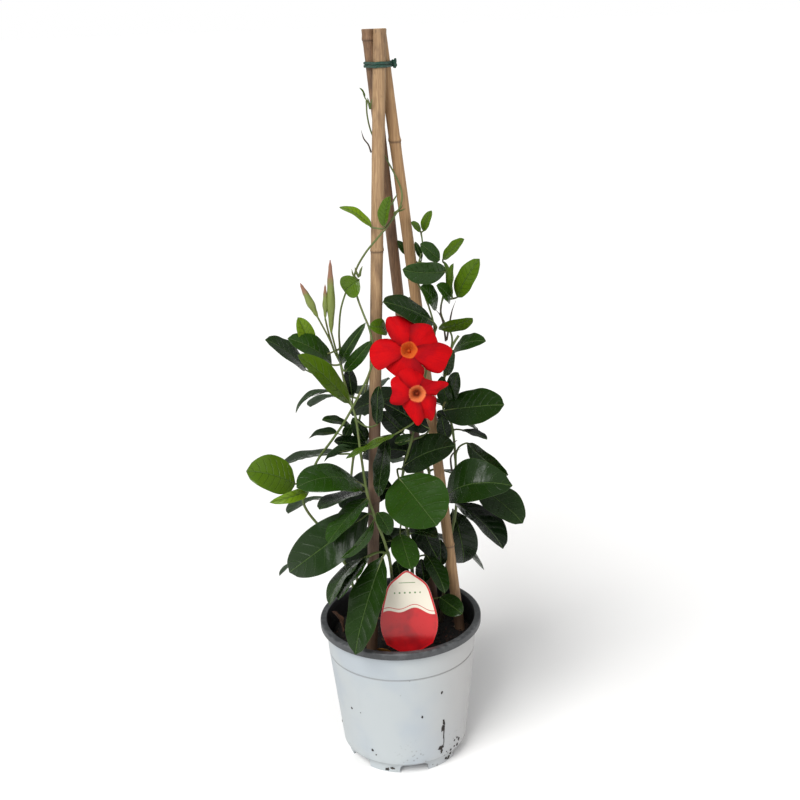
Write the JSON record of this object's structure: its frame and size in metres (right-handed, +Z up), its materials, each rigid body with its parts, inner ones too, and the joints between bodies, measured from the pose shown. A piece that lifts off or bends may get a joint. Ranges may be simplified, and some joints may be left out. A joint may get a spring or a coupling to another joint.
{
  "type": "potted mandevilla plant",
  "caption": "Climbing mandevilla with red trumpet flowers, twined up a tripod of canes in a round plastic nursery pot with soil and a plant label.",
  "frame": {"origin": "middle of the flat underside of the pot", "axes": "+Z up along the pot's axis and the canes, -Y towards the side with the flowers and the label"},
  "size_m": [0.2747, 0.246, 0.7465],
  "materials": {
    "pot": "light grey moulded plastic, satin",
    "soil": "dark moist potting soil",
    "cane": "dry tan bamboo",
    "tie": "dark green plastic band",
    "label": "printed plastic card, bare of words",
    "leaf": "glossy dark green leaf",
    "petal": "velvety red petal",
    "yellow_leaf": "yellowed fallen leaf",
    "dry_leaf": "brown dried leaf"
  },
  "bodies": {
    "root": {"pot": "pot", "soil": "soil", "cane_front": "cane", "cane_right": "cane", "cane_back": "cane", "cane_tie": "tie", "label": "label", "vine_left": "leaf", "vine_front": "leaf", "vine_right": "leaf", "vine_centre": "leaf", "vine_back": "leaf", "vine_rear_left": "leaf", "flower_upper": "petal", "flower_lower": "petal", "fallen_leaf": "yellow_leaf", "dried_leaf": "dry_leaf"}
  },
  "joints": []
}
